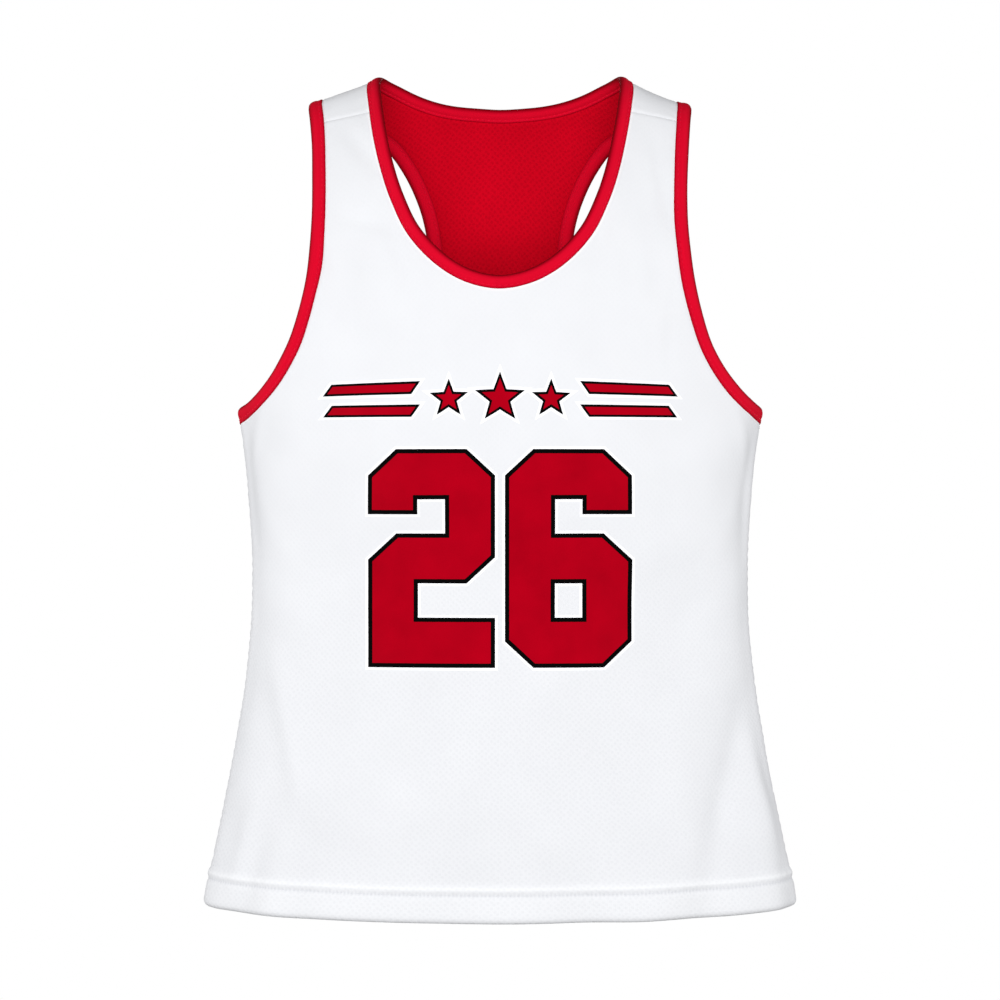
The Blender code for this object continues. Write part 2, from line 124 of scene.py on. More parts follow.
# finer creases that fade out at both ends
CREASES = np.array((
    # round and down at one end, round and down at the other, half width, depth
    (-130, -46, -86, -122, 6, -2.1),
    (-142, -128, -68, -160, 6, -2.2),
    (-90, -136, -64, -220, 6, -2.2),
    (-144, -136, -136, -206, 6, -2.0),
    (-118, -150, -108, -260, 8, 1.8),
    (118, -42, 136, -164, 6, -2.2),
    (86, -124, 70, -210, 7, -2.2),
    (136, -184, 132, -272, 6, -2.0),
    (104, -100, 112, -250, 8, 1.8),
    (-188, -268, -224, -352, 6, 1.1),
    (-226, -276, -222, -420, 12, -1.4),
    (-226, -318, -172, -430, 10, 0.6),
    (187, -272, 223, -352, 6, 1.2),
    (226, -278, 220, -440, 12, -1.5),
    (228, -316, 166, -446, 11, 0.6),
    (-196, -410, -110, -486, 12, -0.8),
    (198, -420, 126, -480, 12, -0.9),
    (-202, -460, -124, -650, 12, 4.6),
    (-188, -580, -200, -700, 10, 3.0),
    (216, -500, 140, -680, 12, -3.6),
    (204, -520, 212, -660, 10, 2.4),
    (-50, -440, -36, -640, 18, -2.8),
    (122, -470, 120, -690, 14, -2.6),
    (-60, -500, -76, -690, 14, 1.2),
    (-22, -550, -30, -700, 13, -1.1),
    (10, -520, 6, -690, 12, 1.0),
    (-222, -560, -226, -690, 10, 1.4),
    (-150, -600, -118, -670, 10, -0.8),
    (170, -610, 186, -680, 9, -1.0),
    (-58, 80, -26, 210, 10, -0.9),
    (55, 85, 30, 200, 11, -0.8),
    (2, 110, 8, 330, 14, 0.9),
    (-28, 230, -40, 480, 13, -1.2),
    (40, 260, 58, 520, 14, 1.1),
    (-222, 305, -120, 392, 11, -1.4),
    (226, 300, 118, 410, 12, -1.3),
    (-205, 330, -150, 500, 11, 1.2),
    (204, 322, 162, 470, 10, 1.0),
    (-100, 560, -88, 700, 13, -1.2),
    (48, 570, 44, 700, 12, -1.0),
    (222, 540, 224, 690, 10, 1.2),
)) / MILLIMETRES

# the slow unevenness of cloth that nothing stretches tight, in metres
WAVES = (
    # wavelength, heading in degrees, height, phase in turns
    (0.071, 24.0, 0.00038, 0.10),
    (0.094, -37.0, 0.00052, 0.62),
    (0.118, 81.0, 0.00050, 0.37),
    (0.057, -68.0, 0.00024, 0.81),
    (0.043, 52.0, 0.00012, 0.23),
)

SIDE_CALM = 0.022  # creases and waves die away this near to a side seam, so both panels meet
SIDE_DIP = (0.004, -0.0004)  # the side seam pulls the cloth in: half width and depth
SIDE_BULGE = (0.010, 0.007, 0.0018)  # and it swells beside the seam: distance, half width, height
ARC_STEPS = 400
LINE_STEPS = 24  # points for each row of a cut line
PROBE = 1e-5  # step for slopes on the form


def so_far(steps):
    """The running total of the steps, from 0."""
    return np.concatenate(([0.0], np.cumsum(steps)))


def unit(runs):
    return runs / np.linalg.norm(runs, axis=1, keepdims=True)


def arc_table(across, along):
    """Lengths along a quarter ellipse from the end of its second half axis, and the angles there."""
    angle = np.linspace(0.0, math.pi / 2, ARC_STEPS)
    return so_far(np.hypot(np.diff(across * np.sin(angle)), np.diff(along * np.cos(angle)))), angle


ROUND_CHEST = arc_table(CHEST_HALF_WIDTH, CHEST_HALF_DEPTH)
OVER_SHOULDER = arc_table(CHEST_HALF_DEPTH, ARMPIT_DROP)
SIDE = ROUND_CHEST[0][-1]  # round, at the side seam
ARMPIT_DOWN = OVER_SHOULDER[0][-1]


def through(knots, values, at):
    """A smooth line through the values at the knots, read at other places."""
    slope = np.gradient(values, knots)
    at = np.clip(at, knots[0], knots[-1])
    i = np.clip(np.searchsorted(knots, at) - 1, 0, len(knots) - 2)
    span = knots[i + 1] - knots[i]
    t = (at - knots[i]) / span
    rise = t * t * (3 - 2 * t)
    lean = slope[i] * t * (1 - t) ** 2 - slope[i + 1] * t * t * (1 - t)
    return values[i] * (1 - rise) + values[i + 1] * rise + span * lean


def smooth_form(flat):
    """Flat points wrapped on the form without folds. Past a side seam the other panel goes on."""
    sideways, down = np.abs(flat[:, 0]), flat[:, 1]
    past_seam = sideways > SIDE
    theta = np.interp(np.where(past_seam, 2 * SIDE - sideways, sideways), *ROUND_CHEST)
    psi = np.interp(np.abs(down), *OVER_SHOULDER)
    below = np.abs(down) - ARMPIT_DOWN
    half_width, front, back = (through(PROFILE[:, 0], PROFILE[:, k], below) for k in (1, 2, 3))
    x = np.sign(flat[:, 0]) * half_width * np.sin(theta)
    y = np.where((down < 0) != past_seam, -front, back) * np.cos(theta) * np.sin(psi)
    soft_middle = math.hypot(STRAP_MIDDLE, SHOULDER_ROUNDING)
    shoulder = SHOULDER_SLOPE * (soft_middle - np.hypot(x, SHOULDER_ROUNDING))
    z = WHOLE - ARMPIT_DROP + (shoulder + ARMPIT_DROP) * np.cos(psi) - np.maximum(below, 0)
    return np.stack((x, y, z), axis=1)


def slopes(surface, flat):
    """How the surface runs with round and with down, and its outward normal."""
    steps = np.array(((PROBE, 0.0), (0.0, PROBE)))
    by_round, by_down = (
        (surface(flat + step) - surface(flat - step)) / (2 * PROBE) for step in steps
    )
    return by_round, by_down, unit(np.cross(by_round, by_down))


def across_line(flat, start, end):
    """How far along a straight flat line each point lies, as a share, and how far beside it."""
    run = np.subtract(end, start)
    away = flat - start
    beside = (away[:, 0] * run[1] - away[:, 1] * run[0]) / np.linalg.norm(run)
    return away @ run / (run @ run), beside


def eased(share):
    """A share held between 0 and 1, with a soft start and end."""
    share = np.clip(share, 0.0, 1.0)
    return share * share * (3 - 2 * share)


def bell(distance, half_width):
    return np.exp(-((distance / half_width) ** 2))


def fold_height(flat):
    """How far folds, creases and waves lift the cloth off the smooth form."""
    height, fine = np.zeros(len(flat)), np.zeros(len(flat))
    for round_top, down_top, round_foot, down_foot, half_width, depth in FOLDS:
        along = (flat[:, 1] - down_top) / (down_foot - down_top)
        middle = round_top + (round_foot - round_top) * along
        height += depth * eased(along) * bell(flat[:, 0] - middle, half_width)
    for round_one, down_one, round_two, down_two, half_width, depth in CREASES:
        along, beside = across_line(flat, (round_one, down_one), (round_two, down_two))
        along = np.clip(along, 0.0, 1.0)
        fine += depth * 16 * along**2 * (1 - along) ** 2 * bell(beside, half_width)
    for wavelength, heading, rise, phase in WAVES:
        heading = math.radians(heading)
        along = flat @ (math.cos(heading), math.sin(heading))
        fine += rise * np.sin(2 * math.pi * (along / wavelength + phase))
    to_side = np.abs(SIDE - np.abs(flat[:, 0]))
    beside, half_width, swell = SIDE_BULGE
    height += SIDE_DIP[1] * bell(to_side, SIDE_DIP[0]) + swell * bell(to_side - beside, half_width)
    return height + fine * eased(to_side / SIDE_CALM)


def form(flat):
    """Flat points wrapped on the form, folds and all: the outer face of the white ply."""
    return smooth_form(flat) + slopes(smooth_form, flat)[2] * fold_height(flat)[:, None]


def on_form(flat, lift):
    """Flat points on the form, moved out along its normal by lift."""
    flat = np.asarray(flat, dtype=float)
    lift = np.broadcast_to(lift, len(flat))
    return form(flat) + slopes(form, flat)[2] * lift[:, None]


def seam_down(sideways):
    """The shoulder seam."""
    return -SEAM_FORWARD - SEAM_SLANT * (STRAP_MIDDLE - sideways)


def cut_line(rows, mirror):
    """A smooth flat line through the rows, square to the mirror line at both ends."""
    image = np.array((2 * mirror, 0.0)) + rows[[1, -2]] * (-1, 1)
    whole = np.vstack((image[:1], rows, image[1:]))
    knots = so_far(np.linalg.norm(np.diff(whole, axis=0), axis=1))
    at = np.linspace(knots[1], knots[-2], LINE_STEPS * len(rows))
    return np.stack([through(knots, whole[:, k], at) for k in (0, 1)], axis=1)


def split_at_shoulder(line):
    """The front's and the back's shares of a cut line, which both hold the point on the seam."""
    past = line[:, 1] - seam_down(line[:, 0])
    i = np.flatnonzero((past[:-1] < 0) != (past[1:] < 0))[0]
    share = past[i] / (past[i] - past[i + 1])
    crossing = line[i] + share * (line[i + 1] - line[i])
    return np.vstack((line[: i + 1], crossing)), np.vstack((crossing, line[i + 1:]))


def evenly(line, pitch):
    """The line again, as evenly spaced points on the form."""
    length = so_far(np.linalg.norm(np.diff(form(line), axis=0), axis=1))
    at = np.linspace(0.0, length[-1], max(2, round(length[-1] / pitch) + 1))
    return np.stack([np.interp(at, length, line[:, k]) for k in (0, 1)], axis=1)


ON_MIRROR = (0.0, 1.0)  # an end on the centre line or a side seam slides along it
ON_SHOULDER = (1.0, SEAM_SLANT)


def aside(line, distance, turn, guides):
    """The line moved sideways in the cloth by a real distance, its ends sliding along guides."""
    by_round, by_down, normal = slopes(form, line)
    flat_run = np.gradient(line, axis=0)
    flat_run[0] = line[1] - line[0]
    flat_run[-1] = line[-1] - line[-2]
    run = unit(by_round * flat_run[:, :1] + by_down * flat_run[:, 1:])
    square = np.cross(run, normal) * turn
    moved = line.copy()
    for i, both in enumerate(np.stack((by_round, by_down), axis=2)):
        moved[i] += np.linalg.lstsq(both, square[i] * distance, rcond=None)[0]
    for i, guide in zip((0, -1), guides):
        guide_run = by_round[i] * guide[0] + by_down[i] * guide[1]
        reach = guide_run @ square[i]
        if guide == ON_MIRROR:
            reach = math.copysign(np.linalg.norm(guide_run), reach)
        moved[i] = line[i] + np.array(guide) * distance / reach
    return moved


class BoundEdge:
    """One panel's share of the neck or of an armhole, and the lines beside it."""

    def __init__(self, line, turn, guides):
        self.line = line
        self.turn = turn
        self.guides = guides

    def at(self, distance, pitch):
        return aside(evenly(self.line, pitch), distance, self.turn, self.guides)


EDGES = {"front": [], "back": []}  # the neck's share, then the armhole's
for rows, mirror, turn in ((NECK_EDGE, 0.0, 1), ((SIDE, 0.0) + ARMHOLE_EDGE * (-1, 1), SIDE, -1)):
    front, back = split_at_shoulder(cut_line(rows, mirror))
    EDGES["front"].append(BoundEdge(front, turn, (ON_MIRROR, ON_SHOULDER)))
    EDGES["back"].append(BoundEdge(back, turn, (ON_SHOULDER, ON_MIRROR)))

BINDING_DEPTH = 0.0112  # the folded strip covers this much of the edge on each face
RAW_EDGE = 0.0013  # the panels end this far inside the strip's fold
HEM_ALLOWANCE = 0.0300
HEM_STITCH = 0.0218  # the hem's seam, above the edge
HEM_STEP = 0.0009  # the allowance thickens the hem by this
HEM_FOLD = 0.0032  # rounding of the fold
HEM_CURL = (0.0056, 0.0022)  # the hem's lowest part curls in: its height, and how far in
INNER_HEM_UP = 0.0045  # the red ply ends this far above the white one

SEWN_PITCH = 0.0026  # between points beside seams, where the cloth puckers
CLOTH_PITCH = 0.0046  # elsewhere
HEM_LEVELS = (
    0.0, 0.0002, 0.0006, 0.0012, 0.0020, 0.0030, 0.0045, 0.0080, 0.0120, 0.0155, 0.0180, 0.0197,
    0.0208, 0.0218, 0.0228, 0.0240, 0.0252, 0.0263, 0.0274, 0.0290, 0.0300, 0.0310, 0.0325, 0.0350,
)
BESIDE_SEAM = (0.0007, 0.0015, 0.0026, 0.0045)  # lines of points beside a seam
BESIDE_BINDING = (-0.0030, -0.0008, 0.0005, 0.0014, 0.0025, 0.0040, 0.0060)
CROWDED = 0.00025  # points nearer than this are one
OPEN_CLOTH = 0.7  # the even points keep this share of their pitch from the others


def hem_line(sideways, up, sign):
    """Flat points at a distance above the hem."""
    rise = HEM_RISE * (sideways / SIDE) ** 2
    return np.stack((sideways, sign * (HEM_DOWN - rise - up)), axis=1)


def above_hem(flat):
    return HEM_DOWN - HEM_RISE * (flat[:, 0] / SIDE) ** 2 - np.abs(flat[:, 1])


def inside(outline, points):
    """Which points lie inside a closed outline."""
    x, y = points[:, 0], points[:, 1]
    within = np.zeros(len(points), dtype=bool)
    for (x0, y0), (x1, y1) in zip(outline, np.roll(outline, -1, axis=0)):
        if y0 != y1:
            crosses = (y0 > y) != (y1 > y)
            within ^= crosses & (x < (x1 - x0) * (y - y0) / (y1 - y0) + x0)
    return within


def tree_of(points):
    tree = KDTree(len(points))
    for i, (x, y) in enumerate(points):
        tree.insert((x, y, 0.0), i)
    tree.balance()
    return tree


def apart_from(kept, points, clear):
    """The points that keep a distance from those already kept."""
    tree = tree_of(kept)
    return points[[tree.find((x, y, 0.0))[2] > clear for x, y in points]]


def spaced(points, clear):
    """The points without any that crowds an earlier one."""
    tree = tree_of(points)
    keep = [
        all(i >= j for _, i, _ in tree.find_range((x, y, 0.0), clear))
        for j, (x, y) in enumerate(points)
    ]
    return points[keep]


def between(start, end, pitch):
    """Evenly spaced places from one to the other."""
    return np.linspace(start, end, round(np.linalg.norm(np.subtract(end, start)) / pitch) + 1)


def staggered(low, high, pitch):
    """A flat grid of points in which every other row is moved by half a pitch."""
    rows = np.arange(low[1], high[1], pitch * math.sqrt(0.75))
    points = []
    for number, down in enumerate(rows):
        across = np.arange(low[0] + pitch / 2 * (number % 2), high[0], pitch)
        points.append(np.stack((across, np.full(len(across), down)), axis=1))
    return np.vstack(points)


def triangulated(loops, free):
    """Flat points and triangles: the loops' points and edges first, then free points inside."""
    starts = np.cumsum([0] + [len(loop) for loop in loops])
    edges = [
        (start + i, start + (i + 1) % len(loop))
        for start, loop in zip(starts, loops) for i in range(len(loop))
    ]
    points = [Vector(point) for point in np.vstack([*loops, free])]
    found = delaunay_2d_cdt(points, edges, [], 1, 1e-7)
    return np.array([tuple(point) for point in found[0]]), np.array(found[2])


def flat_panel(side, sewn_pitch, cloth_pitch):
    """A whole panel's flat points and triangles."""
    sign = -1 if side == "front" else 1
    to_shoulder = slice(None) if side == "front" else slice(None, None, -1)
    neck_raw, arm_raw = (edge.at(RAW_EDGE, sewn_pitch)[to_shoulder] for edge in EDGES[side])
    shoulder = between(neck_raw[-1], arm_raw[-1], sewn_pitch)
    columns = between(0.0, SIDE, sewn_pitch)
    hem_rows = [hem_line(columns, up, sign) for up in HEM_LEVELS]
    above = between(arm_raw[0], hem_rows[-1][-1], sewn_pitch)
    side_seam = np.vstack((above, [row[-1] for row in hem_rows[-2::-1]]))
    right = np.vstack((
        neck_raw, shoulder[1:-1], arm_raw[::-1], side_seam[1:], hem_rows[0][-2::-1]
    ))
    outline = np.vstack((right, right[-2:0:-1] * (-1, 1)))

    lines = [row[:-1] for row in hem_rows[1:]]
    lines += [side_seam - (inset, 0.0) for inset in BESIDE_SEAM]
    lines += [shoulder + (0.0, sign * inset) for inset in BESIDE_SEAM]
    for edge in EDGES[side]:
        lines += [edge.at(BINDING_DEPTH + beside, sewn_pitch) for beside in BESIDE_BINDING]
    free = np.vstack(lines)
    free = np.vstack((free, free * (-1, 1)))
    free = spaced(apart_from(outline, free[inside(outline, free)], CROWDED), CROWDED)
    grid = staggered(outline.min(axis=0), outline.max(axis=0), cloth_pitch)
    grid = grid[inside(outline, grid)]
    grid = apart_from(np.vstack((outline, free)), grid, OPEN_CLOTH * cloth_pitch)
    return triangulated([outline], np.vstack((free, grid)))


def uneven(along, wavelength, phase):
    """Gathers of uneven length and height, as sewing leaves them, from -1 to 1."""
    drift = 0.9 * math.pi * np.sin(along / wavelength * 0.97 + phase)
    swell = 0.66 + 0.34 * np.sin(along / wavelength * 1.63 + 2.1 * phase)
    return swell * np.sin(2 * math.pi * along / wavelength + drift + phase)


FAR_OFF = 1.0  # beyond the reach of any sewing
WELL_UNDER = 0.97  # a point nearer to the fold than this share of the strip is covered by it
OTHER_GATHERS = {"right": 0.31, "back": 0.7}  # where the gathers of another run start

# what sewing does to the cloth, a row for each groove, ridge or run of gathers
HEM_RELIEF = (
    # distance, height, half width, and a run's wavelength and phase
    (HEM_STITCH, -0.00080, 0.0019, 0, 0),
    (0.0262, 0.00050, 0.0020, 0, 0),
    (0.0262, 0.00034, 0.0032, 0.0078, 0.4),
    (0.0170, 0.00022, 0.0040, 0.0104, 1.9),
    (0.0350, 0.00016, 0.0060, 0.0150, 0.9),
)
SEAM_RELIEF = ((0, -0.00058, 0.0013, 0, 0), (0.0035, 0.00018, 0.0028, 0.0120, 0))
BINDING_RELIEF = ((0, -0.00035, 0.0008, 0, 0), (0.0040, 0.00016, 0.0034, 0.0094, 0.5))
BINDING_SWELL = ((0.0024, 0.00026, 0.0014, 0, 0),)
HEM_SLOPE = 0.0016  # the allowance's raw edge thins out over this
HEM_SHADE = 0.25  # how much denser the doubled hem looks
HEM_RIDGE_HIGHLIGHT = (0.0266, 0.7, 0.0018)  # and a painted highlight on the ridge above its seam: height, share, half width
BINDING_HIGHLIGHT = 0.0008  # a painted highlight: the cloth is painted lighter out to twice this from a binding
NEEDLE_LINE = 0.0014  # half the width of the hem's sewn line, which gets painted shade


def beside_binding(side, flat):
    """How far each flat point lies outside the neck's and the armholes' binding, and where."""
    nearest = np.full(len(flat), FAR_OFF)
    along = np.zeros(len(flat))
    mirrored = flat * np.where(flat[:, :1] < 0, (-1, 1), (1, 1))
    for edge in EDGES[side]:
        foot = edge.at(BINDING_DEPTH, SEWN_PITCH / 2)
        fold = edge.at(0.0, SEWN_PITCH / 2)
        foot_tree, fold_tree = tree_of(foot), tree_of(fold)
        for i, (x, y) in enumerate(mirrored):
            _, station, away = foot_tree.find((x, y, 0.0))
            if away < nearest[i]:
                covered = fold_tree.find((x, y, 0.0))[2] < BINDING_DEPTH * WELL_UNDER
                nearest[i] = 0.0 if covered else away
                start = OTHER_GATHERS["right"] if flat[i, 0] < 0 else 0.0
                along[i] = station * SEWN_PITCH / 2 + start
    return nearest, along


def add_relief(lift, rows, away, along, phase=0.0, share=1.0):
    """Adds grooves, ridges and gathers to a lift, by how far away a seam is and where along it."""
    for distance, height, half_width, wavelength, start in rows:
        waves = uneven(along, wavelength, start + phase) if wavelength else share
        lift += height * waves * bell(away - distance, half_width)


def sewn_relief(side, flat, up, plump):
    """How sewing moves a ply's face outward, how much lighter its cloth is, for a hem of two layers
    and as a painted highlight on the hem's ridge and just outside a binding, and how near to the
    hem's seam it lies, for the painted shade along that seam, both from 0 to 1. up is the height
    above the ply's own hem, and plump the share of its puckering, and of the painted highlight,
    that shows beside a binding."""
    to_side = SIDE - np.abs(flat[:, 0])
    to_shoulder = np.abs(flat[:, 1] - seam_down(np.abs(flat[:, 0])))
    to_shoulder[np.abs(flat[:, 1]) > ARMPIT_DROP / 2] = FAR_OFF
    to_binding, along = beside_binding(side, flat)
    round_hem = flat[:, 0] + OTHER_GATHERS.get(side, 0.0)
    allowance = np.clip((HEM_ALLOWANCE + HEM_SLOPE / 2 - up) / HEM_SLOPE, 0.0, 1.0)
    lift = HEM_STEP * allowance
    add_relief(lift, HEM_RELIEF, up, round_hem)
    add_relief(lift, SEAM_RELIEF, to_side, flat[:, 1], phase=0.2)
    add_relief(lift, SEAM_RELIEF, to_shoulder, flat[:, 0], phase=1.3)
    add_relief(lift, BINDING_RELIEF, to_binding, along)
    add_relief(lift, BINDING_SWELL, to_binding, along, share=plump)

    # painted highlight: the cloth just outside a binding is painted lighter
    beside = plump * np.clip((2 * BINDING_HIGHLIGHT - to_binding) / BINDING_HIGHLIGHT, 0.0, 1.0)
    # painted highlight on the ridge above the hem's seam, on top of the two-layered hem's real lighter
    # colour
    level, share, half_width = HEM_RIDGE_HIGHLIGHT
    doubled = np.maximum(HEM_SHADE * allowance, share * bell(up - level, half_width))
    return lift, np.maximum(doubled, beside), bell(up - HEM_STITCH, NEEDLE_LINE)


def fold_rounding(up):
    """How far a folded edge draws its face back towards the ply's middle."""
    t = np.clip(1 - up / HEM_FOLD, 0.0, 1.0)
    return 1 - np.sqrt(1 - t * t)


def only_used(flat, triangles):
    """The points that the triangles use, renumbered."""
    used = np.unique(triangles)
    number = np.full(len(flat), -1)
    number[used] = np.arange(len(used))
    return flat[used], number[triangles]


def wall(flat, triangles, outer_lift, inner_lift):
    """A closed wall on the form: an outer face, an inner face and a rim, with the flat points."""
    outer, inner = on_form(flat, outer_lift), on_form(flat, inner_lift)
    first = outer[triangles[:, 1]] - outer[triangles[:, 0]]
    second = outer[triangles[:, 2]] - outer[triangles[:, 0]]
    out = slopes(form, flat)[2][triangles[:, 0]]
    backwards = np.einsum("ij,ij->i", np.cross(first, second), out) < 0
    triangles = triangles.copy()
    triangles[backwards] = triangles[backwards][:, ::-1]
    count = len(flat)
    faces = triangles.tolist() + (triangles[:, ::-1] + count).tolist()
    runs = {(t[i], t[(i + 1) % 3]) for t in triangles.tolist() for i in range(3)}
    for a, b in sorted(run for run in runs if run[::-1] not in runs):
        faces.append((b, a, a + count, b + count))
    return np.vstack((outer, inner)), faces, np.vstack((flat, flat))


def put_in(name, data):
    """A new object in the scene."""
    thing = bpy.data.objects.new(name, data)
    bpy.context.scene.collection.objects.link(thing)
    return thing


def piece(name, points, faces, flat, material, crisp=50, **marks):
    """An object from points and faces, with the flat points as its UV map and marks on its points."""
    mesh = bpy.data.meshes.new(name)
    mesh.from_pydata(points.tolist(), [], faces)
    corners = np.empty(len(mesh.loops), dtype=np.int32)
    mesh.loops.foreach_get("vertex_index", corners)
    mesh.uv_layers.new(name="cloth").data.foreach_set("uv", flat[corners].ravel())
    for mark, values in marks.items():
        mesh.attributes.new(mark, "FLOAT", "POINT").data.foreach_set("value", values)
    mesh.materials.append(material)
    mesh.shade_smooth()
    mesh.set_sharp_from_angle(angle=math.radians(crisp))
    return put_in(name, mesh)


def linear(hex_colour):
    """An sRGB hex colour as linear red, green, blue and alpha."""
    shares = [int(hex_colour[i:i + 2], 16) / 255 for i in (1, 3, 5)]
    return [c / 12.92 if c < 0.04045 else ((c + 0.055) / 1.055) ** 2.4 for c in shares] + [1.0]


def add(tree, kind, inputs=None, **settings):
    """Adds a node. Its inputs are values, or what to link from: a socket, or a node's first one."""
    node = tree.nodes.new(kind)
    for setting, value in settings.items():
        setattr(node, setting, value)
    for name, value in (inputs or {}).items():
        socket = node.inputs[name]
        value = value.outputs[0] if isinstance(value, bpy.types.Node) else value
        if isinstance(value, bpy.types.NodeSocket):
            tree.links.new(value, socket)
        else:
            socket.default_value = value
    return node


def new_material(name, **sockets):
    """A finish with its tree and its shader. A socket is named with _ for each space."""
    material = bpy.data.materials.new(name)
    material.use_nodes = True
    shader = material.node_tree.nodes["Principled BSDF"]
    for socket, value in sockets.items():
        shader.inputs[socket.replace("_", " ")].default_value = value
    return material, material.node_tree, shader


def dress(tree, shader, ground, layers, relief=None, strength=1.0, depth=0.0):
    """Gives a finish its ground colour, the colours laid over it by their shares, and a relief."""
    colour = linear(ground)
    for share, over in layers:
        colour = add(
            tree, "ShaderNodeMix", {0: share, 6: colour, 7: linear(over)}, data_type="RGBA"
        ).outputs[2]
    tree.links.new(colour, shader.inputs["Base Color"])
    if relief is not None:
        bump = add(tree, "ShaderNodeBump", {"Height": relief, "Strength": strength, "Distance": depth})
        tree.links.new(bump.outputs["Normal"], shader.inputs["Normal"])


PINHOLE_PITCH = 0.0034  # between the rows of pinholes, which lie on the bias
PINHOLE = 0.16  # a pinhole's clear radius, as a share of the pitch
PINHOLE_EDGE = 0.46  # where its rounded yarns end
PINHOLE_DEPTH = 0.0003


def pinhole_rows(tree, unevenness):
    """The cloth's own flat map, and how far each spot on it lies from a pinhole."""
    lay = add(tree, "ShaderNodeUVMap", uv_map="cloth")
    bias = add(tree, "ShaderNodeMapping", {
        "Vector": lay, "Rotation": (0.0, 0.0, math.radians(45)), "Scale": (1 / PINHOLE_PITCH,) * 3,
    })
    away = add(
        tree, "ShaderNodeTexVoronoi", {"Vector": bias, "Scale": 1.0, "Randomness": unevenness},
        voronoi_dimensions="2D",
    )
    return lay, away


WALE_PITCH = 0.0013  # ribs of loops: coarser than the real ones, which wouldn't show
BLOTCH = 0.050  # size of the cloth's faint cloudiness
STITCH_PITCH = 0.0028
NEEDLE_SHADE = 0.30  # how much painted shade darkens the hem's sewn line, in its groove and at the needle's holes


def mesh_knit(name, single, doubled, shade, hole, gleam, open_share):
    """Polyester mesh knit: matt, softly shining fibre with pinholes in rows on the bias, which
    the eye reads as a faint diagonal grain, fainter where the cloth isn't loose. It is denser in
    colour where it lies in two layers, and painted lighter, as a highlight, on a hem's ridge and
    beside a binding; along a hem's seam it is darkened by painted shade, in the groove and at the
    needle's holes. open_share is how much of a pinhole shows as its darker inside."""
    material, tree, shader = new_material(
        name, Roughness=0.80, Diffuse_Roughness=0.15, Specular_IOR_Level=0.20,
        Specular_Tint=linear(gleam), Sheen_Weight=0.06, Sheen_Roughness=0.45,
        Sheen_Tint=linear(gleam),
    )
    lay, away = pinhole_rows(tree, 0.35)
    # the second mark carries the two-layered hem and a painted highlight; the third says where painted
    # shade falls along the hem's seam
    loose, doubled_and_highlight_share, seam = (
        add(tree, "ShaderNodeAttribute", attribute_name=mark).outputs["Fac"]
        for mark in ("loose", "doubled", "seam")
    )
    wales, needle = (
        add(tree, "ShaderNodeTexWave", {
            "Vector": lay, "Scale": math.pi / 10 / pitch, "Distortion": unevenness, "Detail": 1.0,
        }, bands_direction="X").outputs["Fac"]
        for pitch, unevenness in ((WALE_PITCH, 0.6), (STITCH_PITCH, 0.4))
    )
    clouds = add(
        tree, "ShaderNodeTexNoise", {"Vector": lay, "Scale": 1 / BLOTCH, "Detail": 3.0},
        noise_dimensions="2D",
    ).outputs["Fac"]
    pinholes = add(tree, "ShaderNodeMapRange", {
        "Value": away, "From Min": PINHOLE, "From Max": PINHOLE_EDGE, "To Min": loose, "To Max": 0.0,
    }, interpolation_type="SMOOTHSTEP")
    seen = add(tree, "ShaderNodeMath", {0: pinholes, 1: open_share}, operation="MULTIPLY")
    # painted shade along the hem's seam, dotted darker at the needle's holes
    groove_shade = add(tree, "ShaderNodeMath", {
        0: needle, 1: 0.6 * NEEDLE_SHADE, 2: 0.4 * NEEDLE_SHADE,
    }, operation="MULTIPLY_ADD")
    groove_shade = add(tree, "ShaderNodeMath", {0: groove_shade, 1: seam}, operation="MULTIPLY")
    yarns = add(tree, "ShaderNodeMath", {0: wales, 1: 0.25, 2: 1.0}, operation="MULTIPLY_ADD")
    relief = add(tree, "ShaderNodeMath", {0: yarns, 1: pinholes}, operation="SUBTRACT")
    layers = ((clouds, single), (doubled_and_highlight_share, doubled), (seen, hole), (groove_shade, hole))
    dress(tree, shader, shade, layers, relief, 0.24, PINHOLE_DEPTH)
    return material


# the two-layered colour also paints a highlight, and the hole colour also paints shade along the hem's
# seam
white_knit = mesh_knit(
    "white polyester mesh knit", "#DBDCDF", "#E6E7E9", "#D6D7DA", "#A4A6AE", "#FFFFFF", 0.07
)

# each panel laid flat: its width at the hem, and its length from the hem's allowance to the
# shoulder seam, which lies forward of the shoulder
FRONT_CUT = (0.562, 0.670)
BACK_CUT = (0.550, 0.775)
FRONT_CUT_AREA = 0.277
BACK_CUT_AREA = 0.265
FOLD_DRAW = 0.9  # share of its thickness that the hem's fold draws in
SMOOTH_WORN = (0.3, 0.30, 0.25)  # looseness on the chest, how far down it grows, and over what


def outer_panel(side):
    """A white panel: its seams drawn in, its hem thickened by the allowance."""
    flat, triangles = only_used(*flat_panel(side, SEWN_PITCH, CLOTH_PITCH))
    up = above_hem(flat)
    lift, doubled, seam = sewn_relief(side, flat, up, 1.0)
    curl = HEM_CURL[1] * np.clip(1 - up / HEM_CURL[0], 0.0, 1.0) ** 2
    lift -= curl + fold_rounding(up) * (PLY + HEM_STEP) * FOLD_DRAW
    points, faces, flat = wall(flat, triangles, lift, -PLY - curl)
    least, start, over = SMOOTH_WORN
    loose = least + (1 - least) * eased((np.abs(flat[:, 1]) - start) / over)
    return piece(
        "white_" + side, points, faces, flat, white_knit,
        doubled=np.tile(doubled, 2), seam=np.tile(seam, 2), loose=loose,
    )


white_front = outer_panel("front")
white_back = outer_panel("back")
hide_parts("front_outer")
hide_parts("back_outer")

# ---------------------------------------------------------------- the red inner panels
# The inner ply, cut from the same pattern in red mesh knit, so that the garment can be worn
# either way out. It hangs just inside the white ply, ends a little above it, and its own hem is
# turned up on the inside.

